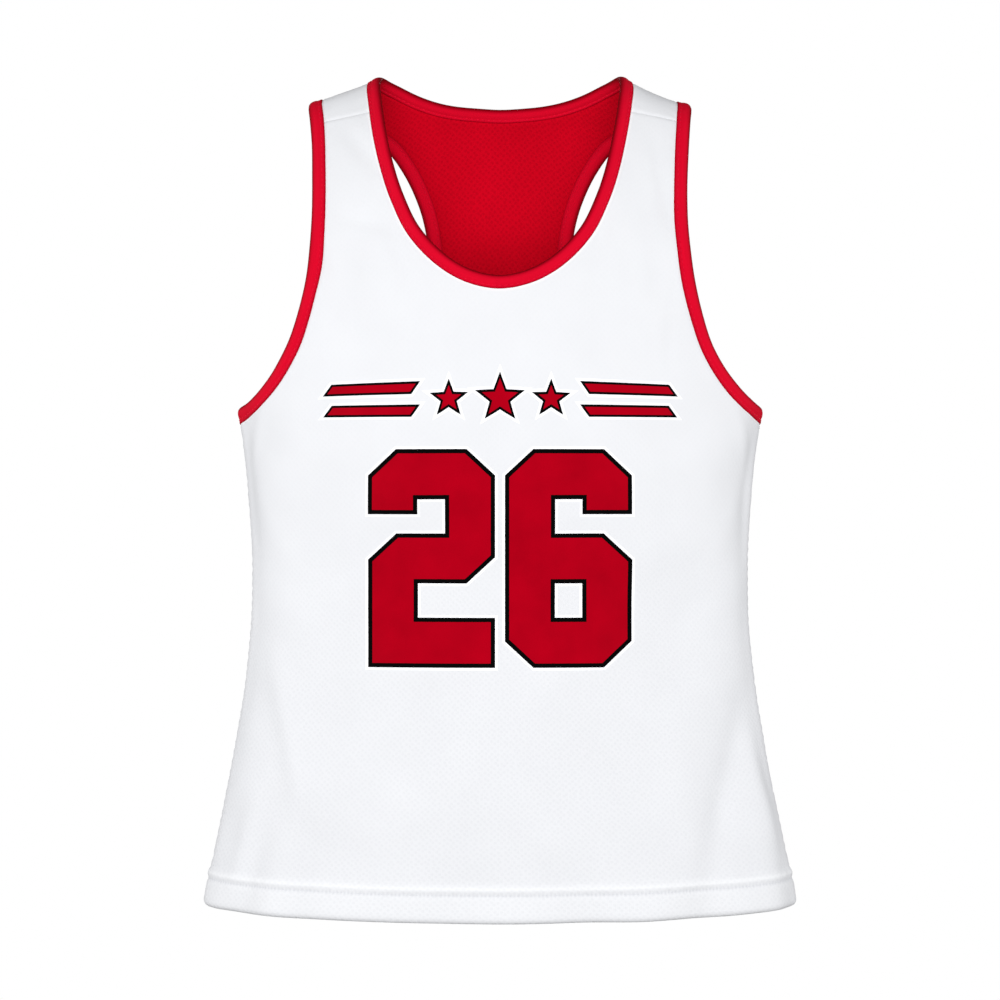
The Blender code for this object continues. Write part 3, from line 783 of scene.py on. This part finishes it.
INNER_SEWN_PITCH = 0.0034
INNER_CLOTH_PITCH = 0.0060
# as on the white knit, the two-layered colour also paints a highlight and the hole colour paints shade
# along the hem's seam
red_knit = mesh_knit(
    "red polyester mesh knit", "#C1041D", "#C9041E", "#B40419", "#6A000B", "#FF2038", 0.20
)


def inner_panel(side):
    """A red panel: its inner face is the one that shows."""
    flat, triangles = flat_panel(side, INNER_SEWN_PITCH, INNER_CLOTH_PITCH)
    keep = above_hem(flat)[triangles].min(axis=1) > INNER_HEM_UP - GAP
    flat, triangles = only_used(flat, triangles[keep])
    up = above_hem(flat) - INNER_HEM_UP
    lift, doubled, seam = sewn_relief(side, flat, up, 0.3)
    rounding = fold_rounding(up)
    inner_lift = -WHOLE - lift + rounding * (PLY + HEM_STEP) / 2
    points, faces, flat = wall(flat, triangles, -PLY - GAP - rounding * PLY / 3, inner_lift)
    return piece(
        "red_" + side, points, faces, flat, red_knit,
        doubled=np.tile(doubled, 2), seam=np.tile(seam, 2), loose=np.ones(len(flat)),
    )


red_front = inner_panel("front")
red_back = inner_panel("back")
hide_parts("front_inner")
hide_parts("back_inner")

# ---------------------------------------------------------------- the bound edges
# A strip of red tricot is folded over the raw edges of both plies at the neck and the armholes,
# and sewn through near its two edges. The tape stays plump between its fold and its seam.

STRIP_PITCH = 0.0030
BINDING_STITCH = 0.0084  # the strip's seam, from its fold
NECK_REACH = (-0.0004, 0.0107)  # the strip's fold and its foot, from the finished edge
ARM_REACH = (-0.0010, 0.0112)
MIDDLE_LIFT = -WHOLE / 2
STRIP_FACE = (
    # distance from the fold as a share of the reach, lift above the white ply
    (1.000, 0.00010), (0.990, 0.00052), (0.940, 0.00094), (0.860, 0.00102), (0.795, 0.00080),
    (0.765, 0.00074), (0.730, 0.00088), (0.640, 0.00136), (0.520, 0.00172), (0.400, 0.00182),
    (0.280, 0.00170), (0.170, 0.00132), (0.085, 0.00070), (0.025, -0.00022),
)
STRIP_LINING = (
    # the strip's hidden side, which hugs the plies
    (0.100, MIDDLE_LIFT - 0.00120), (0.100, MIDDLE_LIFT + 0.00120), (1.000, 0.00005),
)
STRIP_PLUMP = (0.00007, 0.0105, 0.30)  # its unevenness: height, wavelength, share of its width
STRIP_CROWN = 0.6  # the foot's weight next to the fold's, for where it is most uneven


def strip_section(fold, foot):
    """The folded strip's section: its outer face, its fold, its inner face and its lining."""
    reach = foot - fold
    face, lining = (
        [(fold + share * reach, lift) for share, lift in rows] for rows in (STRIP_FACE, STRIP_LINING)
    )
    under = [(distance, 2 * MIDDLE_LIFT - lift) for distance, lift in reversed(face)]
    last = (foot, 2 * MIDDLE_LIFT - lining[-1][1])
    return face + [(fold, MIDDLE_LIFT)] + under + [last] + lining


def strip_rings(edges, image, fold, foot):
    """The section at every station of the front's edge and then the back's."""
    rings = []
    height, wavelength, spread = STRIP_PLUMP
    crown = (fold + STRIP_CROWN * foot) / (1 + STRIP_CROWN)
    for number, (distance, lift) in enumerate(strip_section(fold, foot)):
        lines = [edge.at(distance, STRIP_PITCH) for edge in edges]
        line = np.vstack((lines[0], lines[1][1:])) * (image, 1)
        along = np.arange(len(line)) * STRIP_PITCH
        outward = 1 if number < len(STRIP_FACE) else -1
        plump = height * outward * uneven(along, wavelength, 0.7 + image)
        rings.append(on_form(line, lift + plump * bell(distance - crown, spread * foot)))
    return np.stack(rings, axis=1)


def strip(name, rings, reverse, material, fold, foot):
    """A closed strip through its rings, laid out flat in its UV map along its length."""
    count, sides = rings.shape[:2]
    faces = []
    for i in range(count):
        here, there = i * sides, (i + 1) % count * sides
        for j in range(sides):
            k = (j + 1) % sides
            face = (here + j, here + k, there + k, there + j)
            faces.append(face[::-1] if reverse else face)
    along = np.repeat(np.arange(count) * STRIP_PITCH, sides)
    around = np.tile(so_far(np.linalg.norm(np.diff(rings[0], axis=0), axis=1)), count)
    lay = np.stack((along, around), axis=1)
    share = (np.array(strip_section(fold, foot))[:, 0] - fold) / (foot - fold)
    # painted shade: the strip is darkened along its fold and along its foot, where its face turns away
    turned = bell(share, 0.20) + 0.55 * bell(1 - share, 0.10)
    return piece(
        name, rings.reshape(-1, 3), faces, lay, material, crisp=70, turned=np.tile(turned, count)
    )


RIB_PITCH = 0.0011
RIB_DEPTH = 0.0002


def tricot(name, light, deep, edge):
    """Knitted tricot binding: smooth filament loops with a low shine and fine ribs across it, and
    painted shade that darkens it along its fold and its foot, where its face turns away."""
    material, tree, shader = new_material(
        name, Roughness=0.70, Specular_IOR_Level=0.10, Specular_Tint=linear("#FF2030"),
    )
    lay = add(tree, "ShaderNodeUVMap", uv_map="cloth")
    ribs = add(tree, "ShaderNodeTexWave", {
        "Vector": lay, "Scale": math.pi / 10 / RIB_PITCH, "Distortion": 0.8, "Detail": 1.0,
    }, bands_direction="X").outputs["Fac"]
    stretched = add(tree, "ShaderNodeMapping", {"Vector": lay, "Scale": (28.0, 420.0, 1.0)})
    streaks = add(
        tree, "ShaderNodeTexNoise", {"Vector": stretched, "Scale": 1.0, "Detail": 2.0},
        noise_dimensions="2D",
    ).outputs["Fac"]
    # this mark lays painted shade, in the edge colour, along the strip's fold and foot
    turned = add(tree, "ShaderNodeAttribute", attribute_name="turned").outputs["Fac"]
    dress(tree, shader, deep, ((streaks, light), (turned, edge)), ribs, 0.35, RIB_DEPTH)
    return material


# the last colour is the painted shade along the strip's fold and foot
red_tricot = tricot("red tricot binding", "#D00A28", "#C20824", "#700008")
neck_edges = [EDGES["front"][0], EDGES["back"][0]]
arm_edges = [EDGES["front"][1], EDGES["back"][1]]
neck_right, neck_left = (strip_rings(neck_edges, image, *NECK_REACH) for image in (1, -1))
neck_rings = np.vstack((neck_right, neck_left[-2:0:-1]))
neck_strip = strip("neck_strip", neck_rings, True, red_tricot, *NECK_REACH)
arm_strips = []
for hand, image in (("left", 1), ("right", -1)):
    rings = strip_rings(arm_edges, image, *ARM_REACH)[:-1]
    arm_strips.append(strip("armhole_strip_" + hand, rings, image < 0, red_tricot, *ARM_REACH))
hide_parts("neck_binding")
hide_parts("armhole_binding_left")
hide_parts("armhole_binding_right")

# ---------------------------------------------------------------- the sewing
# Lockstitch in polyester thread: white through the outer hem, red through the inner hem and along
# both faces of each binding. Every stitch is a short plump run of thread that dips at its ends.

# pitch, length and thickness of a stitch: thicker than real thread, so that it shows
HEM_SEWING = (STITCH_PITCH, 0.0020, 0.00042)
BINDING_SEWING = (0.0045, 0.0034, 0.00075)
BINDING_SEAM_LIFT = 0.00084
HEM_SEAM_LIFT = -0.00002  # in the groove that the seam pulls


def stitch_tree():
    """Geometry nodes: a stitch of thread on every pitch along a line, as one plain mesh."""
    tree = bpy.data.node_groups.new("row of stitches", "GeometryNodeTree")
    tree.interface.new_socket("Line", in_out="INPUT", socket_type="NodeSocketGeometry")
    for name in ("Pitch", "Length", "Thread"):
        tree.interface.new_socket(name, in_out="INPUT", socket_type="NodeSocketFloat")
    tree.interface.new_socket("Material", in_out="INPUT", socket_type="NodeSocketMaterial")
    tree.interface.new_socket("Stitches", in_out="OUTPUT", socket_type="NodeSocketGeometry")
    given = add(tree, "NodeGroupInput").outputs
    line = add(tree, "GeometryNodeMeshToCurve", {"Mesh": given["Line"]})
    places = add(
        tree, "GeometryNodeResampleCurve", {"Curve": line, "Length": given["Pitch"]}, mode="LENGTH"
    )
    run = add(tree, "GeometryNodeInputTangent")
    turned = add(tree, "FunctionNodeAlignRotationToVector", {"Vector": run}, axis="X")
    bead = add(tree, "GeometryNodeMeshUVSphere", {"Segments": 6, "Rings": 5, "Radius": 0.5})
    size = add(
        tree, "ShaderNodeCombineXYZ", {"X": given["Length"], "Y": given["Thread"], "Z": given["Thread"]}
    )
    thread = add(tree, "GeometryNodeTransform", {"Geometry": bead, "Scale": size})
    laid = add(tree, "GeometryNodeInstanceOnPoints", {
        "Points": places, "Instance": thread, "Rotation": turned,
    })
    real = add(tree, "GeometryNodeRealizeInstances", {"Geometry": laid})
    smooth = add(tree, "GeometryNodeSetShadeSmooth", {"Geometry": real})
    finished = add(
        tree, "GeometryNodeSetMaterial", {"Geometry": smooth, "Material": given["Material"]}
    )
    add(tree, "NodeGroupOutput", {"Stitches": finished})
    return tree


STITCHES = stitch_tree()


def stitches(name, lines, sizes, material):
    """Rows of stitches along open lines of points."""
    points = np.vstack(lines).tolist()
    starts = np.cumsum([0] + [len(line) for line in lines])
    edges = [(i, i + 1) for a, b in zip(starts[:-1], starts[1:]) for i in range(a, b - 1)]
    mesh = bpy.data.meshes.new(name)
    mesh.from_pydata(points, edges, [])
    guide = put_in(name, mesh)
    sewing = guide.modifiers.new("sewing", "NODES")
    sewing.node_group = STITCHES
    values = dict(zip(("Pitch", "Length", "Thread", "Material"), (*sizes, material)))
    for socket in STITCHES.interface.items_tree:
        if socket.name in values:
            sewing[socket.identifier] = values[socket.name]
    evaluated = guide.evaluated_get(bpy.context.evaluated_depsgraph_get())
    plain = bpy.data.meshes.new_from_object(evaluated)
    guide.modifiers.remove(sewing)
    guide.data = plain
    plain.name = name
    return guide


def thread(name, colour, twist_colour):
    """Spun polyester thread: a low shine, and darker where its plies twist round each other."""
    material, tree, shader = new_material(
        name, Roughness=0.50, Specular_IOR_Level=0.35, Specular_Tint=linear(colour)
    )
    place = add(tree, "ShaderNodeTexCoord").outputs["Object"]
    twist = add(tree, "ShaderNodeTexNoise", {"Vector": place, "Scale": 2400.0, "Detail": 1.0})
    dress(tree, shader, twist_colour, ((twist.outputs["Fac"], colour),))
    return material


white_thread = thread("white polyester thread", "#D2D3D8", "#B4B6BE")
red_thread = thread("red polyester thread", "#E01838", "#C00828")

columns = np.linspace(-SIDE, SIDE, 400)
hem_rows, inner_hem_rows = (
    [hem_line(columns, up, sign) for sign in (-1, 1)]
    for up in (HEM_STITCH, INNER_HEM_UP + HEM_STITCH)
)
hem_stitches = stitches(
    "hem_stitches", [on_form(row, HEM_SEAM_LIFT) for row in hem_rows], HEM_SEWING, white_thread
)
inner_hem_stitches = stitches(
    "inner_hem_stitches", [on_form(row, -WHOLE - HEM_SEAM_LIFT) for row in inner_hem_rows],
    HEM_SEWING, red_thread,
)


def binding_seams(edges):
    """The lines of stitches along both faces of a binding, on both sides of the garment."""
    lines = []
    for edge in edges:
        flat = edge.at(BINDING_STITCH, SEWN_PITCH)
        for image in (1, -1):
            for lift in (BINDING_SEAM_LIFT, -WHOLE - BINDING_SEAM_LIFT):
                lines.append(on_form(flat * (image, 1), lift))
    return lines


neck_stitches, armhole_stitches = (
    stitches(name, binding_seams(edges), BINDING_SEWING, red_thread)
    for name, edges in (("neck_stitches", neck_edges), ("armhole_stitches", arm_edges))
)

# ---------------------------------------------------------------- the pressed-on number and band
# The player's number in plain block digits, and above it a band of stars and bars. Each is cut
# from thin matt film and heat-pressed on the chest: white film, black on it, and red on top,
# so that a black line with a fine white rim runs round every shape.

DIGIT_WIDTH = 0.0998
DIGIT_HEIGHT = 0.1712
DIGIT_TOP = 0.3219  # down from the shoulder
BETWEEN_DIGITS = 0.0077
STROKE = 0.0392
CORNER_ACROSS = 0.0223
CORNER_DOWN = 0.0206
LIP = 1.3 * STROKE  # where the open ends of the upper strokes stop
LINE = 0.0034  # the black line
RIM = 0.0020  # the white rim round it
FILM = 0.00007  # one layer
FILM_PITCH = 0.0050
FILM_GRAIN = 0.0002  # how deep the knit's grain shows in it

right, foot = DIGIT_WIDTH, DIGIT_HEIGHT
near, far = CORNER_ACROSS, right - CORNER_ACROSS  # where the cut corners start
inner, outer, base = STROKE, right - STROKE, foot - STROKE  # the strokes' inner edges
upper, lower = base / 2, (foot + STROKE) / 2  # the middle stroke
TWO = [(
    (near, 0.0), (far, 0.0), (right, CORNER_DOWN), (right, lower - CORNER_DOWN), (far, lower),
    (inner, lower), (inner, base), (right, base), (right, foot), (0.0, foot),
    (0.0, upper + CORNER_DOWN), (near, upper), (outer, upper), (outer, STROKE), (inner, STROKE),
    (inner, LIP), (0.0, LIP), (0.0, CORNER_DOWN),
)]
SIX = [(
    (near, 0.0), (far, 0.0), (right, CORNER_DOWN), (right, LIP), (outer, LIP), (outer, STROKE),
    (inner, STROKE), (inner, upper), (far, upper), (right, upper + CORNER_DOWN),
    (right, foot - CORNER_DOWN), (far, foot), (near, foot), (0.0, foot - CORNER_DOWN),
    (0.0, CORNER_DOWN),
), ((inner, lower), (inner, base), (outer, base), (outer, lower))]


def placed(loops, across, down):
    """Outlines drawn rightwards and downwards, placed on the front."""
    return [np.array(loop) * (1, -1) + (across, -down) for loop in loops]


def turned_out(loop, distance):
    """A closed outline with every side moved out, corners kept sharp."""
    before, after = loop - np.roll(loop, 1, axis=0), np.roll(loop, -1, axis=0) - loop
    one, two = (unit(run[:, ::-1] * (1, -1)) for run in (before, after))
    x, y = loop[:, 0], loop[:, 1]
    area = np.sum(x * np.roll(y, -1) - y * np.roll(x, -1))
    middle = one + two
    reach = 2 * distance / np.sum(middle * middle, axis=1, keepdims=True)
    return loop + np.sign(area) * middle * reach


def around_shape(loops, distance):
    """A shape grown by a distance: its outline goes out and its holes close in."""
    return [turned_out(loops[0], distance)] + [turned_out(hole, -distance) for hole in loops[1:]]


def subdivided(loop, pitch):
    """A closed outline with points added along its sides."""
    parts = []
    for start, end in zip(loop, np.roll(loop, -1, axis=0)):
        count = max(1, math.ceil(np.linalg.norm(end - start) / pitch))
        parts.append(start + (end - start) * np.arange(count)[:, None] / count)
    return np.vstack(parts)


def as_pressed(drawn):
    """Flat points that lie as far from the centre line as drawn, although the form has a waist."""
    below = np.abs(drawn[:, 1]) - ARMPIT_DOWN
    theta = np.arcsin(drawn[:, 0] / through(PROFILE[:, 0], PROFILE[:, 1], below))
    around = np.sign(theta) * np.interp(np.abs(theta), *ROUND_CHEST[::-1])
    return np.stack((around, drawn[:, 1]), axis=1)


def film(name, shapes, low, high, material):
    """A thin sheet of film on the cloth, cut to shapes, each an outline and then its holes."""
    points, faces, lay, count = [], [], [], 0
    for loops in shapes:
        loops = [subdivided(loop, FILM_PITCH) for loop in loops]
        grid = staggered(loops[0].min(axis=0), loops[0].max(axis=0), FILM_PITCH)
        for loop in loops:
            grid = grid[inside(loop, grid) == (loop is loops[0])]
        if len(grid):
            grid = apart_from(np.vstack(loops), grid, 0.5 * FILM_PITCH)
        flat, triangles = triangulated(loops, grid)
        middles = flat[triangles].mean(axis=1)
        kept = inside(loops[0], middles)
        for hole in loops[1:]:
            kept &= ~inside(hole, middles)
        flat, triangles = only_used(flat, triangles[kept])
        these, sides, spread = wall(as_pressed(flat), triangles, high, low)
        points.append(these)
        lay.append(spread)
        faces += [tuple(corner + count for corner in face) for face in sides]
        count += len(these)
    return piece(name, np.vstack(points), faces, np.vstack(lay), material)


def pressed_film(name, colour, deep, gleam, roughness):
    """Heat-press film: smooth and nearly matt, faintly clouded, with the knit's grain just
    showing through it."""
    material, tree, shader = new_material(
        name, Roughness=roughness, Specular_IOR_Level=0.25, Specular_Tint=linear(gleam)
    )
    lay, grain = pinhole_rows(tree, 0.0)
    clouds = add(
        tree, "ShaderNodeTexNoise", {"Vector": lay, "Scale": 42.0, "Detail": 2.0},
        noise_dimensions="2D",
    ).outputs["Fac"]
    dress(tree, shader, deep, ((clouds, colour),), grain, 0.2, FILM_GRAIN)
    return material


white_film = pressed_film("white heat-press film", "#F2F2F4", "#ECECF0", "#FFFFFF", 0.55)
black_film = pressed_film("black heat-press film", "#040404", "#020202", "#383838", 0.60)
red_film = pressed_film("red heat-press film", "#A70016", "#930012", "#D0142A", 0.60)

STAR_REACH = 0.0205  # the middle star, from its centre to a tip
STAR_WAIST = 0.42  # an inner corner's distance, as a share of the tip's
STAR_STEP = 0.0400  # between the middle star and the next
STAR_SHRINK = 0.78
BAND_LEVEL = 0.2838  # the band's middle line, down from the shoulder
BAND_REACH = 0.1360  # half the band's length
BAND_DRAW = 0.88  # the chest slopes away here and lengthens what is drawn on it
BAR_START = 0.0660
BAR_HEIGHT = 0.0105
BAR_APART = 0.0190  # between the middle lines of two bars
BAR_SLANT = 0.0080
BAND_LINE = 0.0018


def star(across, reach):
    """A five-pointed star."""
    corners = []
    for i in range(10):
        turn = math.pi * i / 5
        out = reach * (STAR_WAIST if i % 2 else 1.0)
        corners.append((across + out * math.sin(turn), -out * math.cos(turn) * BAND_DRAW))
    return corners


def bar(level, image):
    """A bar with slanted ends."""
    half = BAR_HEIGHT / 2 * BAND_DRAW
    lean = BAR_SLANT * half / BAR_HEIGHT
    corners = [
        (BAR_START - lean, level - half), (BAND_REACH - lean, level - half),
        (BAND_REACH + lean, level + half), (BAR_START + lean, level + half),
    ]
    return [(x * image, y) for x, y in corners][::image]


band_shapes = [[star(0.0, STAR_REACH)]]
for image in (1, -1):
    band_shapes.append([star(image * STAR_STEP, STAR_REACH * STAR_SHRINK)])
    for level in (-BAR_APART / 2 * BAND_DRAW, BAR_APART / 2 * BAND_DRAW):
        band_shapes.append([bar(level, image)])
prints = {
    "number": (LINE, [
        placed(TWO, -DIGIT_WIDTH - BETWEEN_DIGITS / 2, DIGIT_TOP),
        placed(SIX, BETWEEN_DIGITS / 2, DIGIT_TOP),
    ]),
    "band": (BAND_LINE, [placed(shape, 0.0, BAND_LEVEL) for shape in band_shapes]),
}
films = []
for name, (line, shapes) in prints.items():
    layers = (white_film, RIM), (black_film, 0.0), (red_film, -line)
    for level, (material, growth) in enumerate(layers):
        colour = material.name.split()[0]
        grown = [around_shape(loops, growth) if growth else loops for loops in shapes]
        films.append(film(f"{name}_{colour}", grown, level * FILM, (level + 1) * FILM, material))

# ---------------------------------------------------------------- what each piece rides on
# One rigid body holds the whole garment: the panels of cloth that hang from the shoulders, each
# with what is sewn or pressed on it.

sewn_on_front = [neck_strip, *arm_strips, hem_stitches, neck_stitches, armhole_stitches, *films]
panels = (
    # panel, its flat size and area, what is sewn or pressed on it
    (white_front, FRONT_CUT, FRONT_CUT_AREA, sewn_on_front),
    (white_back, BACK_CUT, BACK_CUT_AREA, []),
    (red_front, FRONT_CUT, FRONT_CUT_AREA, [inner_hem_stitches]),
    (red_back, BACK_CUT, BACK_CUT_AREA, []),
)
for panel, flat_size, area, trim in panels:
    for thing in [panel, *trim]:
        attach(thing, "root")

# ---------------------------------------------------------------- the studio
# A pale floor a wearer's height below the shoulders that fades out into an even white surround,
# and a broad soft light on each of the four sides, so that the cloth is brightest where it faces
# front or back and greys as it rounds away. The camera looks level at the middle of the garment.

SHOULDER_HEIGHT = 1.36
FLOOR_RADIUS = 3.3  # its far edge lies just below the picture
FLOOR_FADE = 1.2  # from here out it fades
SURROUND = 0.20  # how brightly the surround lights the cloth, next to how it looks
LIGHT_AWAY = 2.7
LIGHT_LEVEL = -0.1
LIGHT_SIZE = (2.0, 1.6)
CAMERA_AWAY = 2.6
CAMERA_LEVEL = -0.3282
FRAME_WIDTH = 0.81  # what the picture spans at the garment's middle plane

bpy.ops.mesh.primitive_circle_add(
    vertices=96, radius=FLOOR_RADIUS, fill_type="NGON", location=(0, 0, -SHOULDER_HEIGHT)
)
floor = bpy.context.object
floor.name = "studio_floor"
pale, tree, shader = new_material("pale matt studio floor", Roughness=0.9, Specular_IOR_Level=0.1)
shader.inputs["Base Color"].default_value = linear("#F4F4F4")
place = add(tree, "ShaderNodeTexCoord").outputs["Object"]
out = add(tree, "ShaderNodeVectorMath", {0: place}, operation="LENGTH").outputs["Value"]
fade = add(tree, "ShaderNodeMapRange", {
    "Value": out, "From Min": FLOOR_FADE, "From Max": FLOOR_RADIUS, "To Min": 1.0, "To Max": 0.0,
}, interpolation_type="SMOOTHSTEP").outputs["Result"]
tree.links.new(fade, shader.inputs["Alpha"])
floor.data.materials.append(pale)
floor.visible_diffuse = False  # it throws no light up, so the hem's underside stays dark

world = bpy.data.worlds.new("white surround")
world.use_nodes = True
tree = world.node_tree
seen = tree.nodes["Background"]
seen.inputs["Color"].default_value = (1.0, 1.0, 1.0, 1.0)
lighting = add(tree, "ShaderNodeBackground", {"Color": (1.0, 1.0, 1.0, 1.0), "Strength": SURROUND})
path = add(tree, "ShaderNodeLightPath")
surround = add(tree, "ShaderNodeMixShader", {
    0: path.outputs["Is Camera Ray"], 1: lighting.outputs[0], 2: seen.outputs[0],
})
tree.links.new(surround.outputs[0], tree.nodes["World Output"].inputs["Surface"])
bpy.context.scene.world = world

for name, across, away, power in (
    ("front", 0.0, -1.0, 87.0), ("left", 1.0, 0.0, 27.0), ("back", 0.0, 1.0, 82.0),
    ("right", -1.0, 0.0, 34.0),
):
    lamp = bpy.data.lights.new("soft " + name, "AREA")
    lamp.shape = "RECTANGLE"
    lamp.size, lamp.size_y = LIGHT_SIZE
    lamp.energy = power
    light = put_in("soft " + name, lamp)
    light.location = (across * LIGHT_AWAY, away * LIGHT_AWAY, LIGHT_LEVEL)
    aim = Vector((0.0, 0.0, CAMERA_LEVEL)) - light.location
    light.rotation_euler = aim.to_track_quat("-Z", "Y").to_euler()

lens = bpy.data.cameras.new("camera")
lens.angle = 2 * math.atan(FRAME_WIDTH / 2 / CAMERA_AWAY)
camera = put_in("camera", lens)
camera.location = (0.0, -CAMERA_AWAY, CAMERA_LEVEL)
camera.rotation_euler = (math.pi / 2, 0.0, 0.0)
bpy.context.scene.camera = camera
bpy.context.scene.view_settings.view_transform = "Standard"
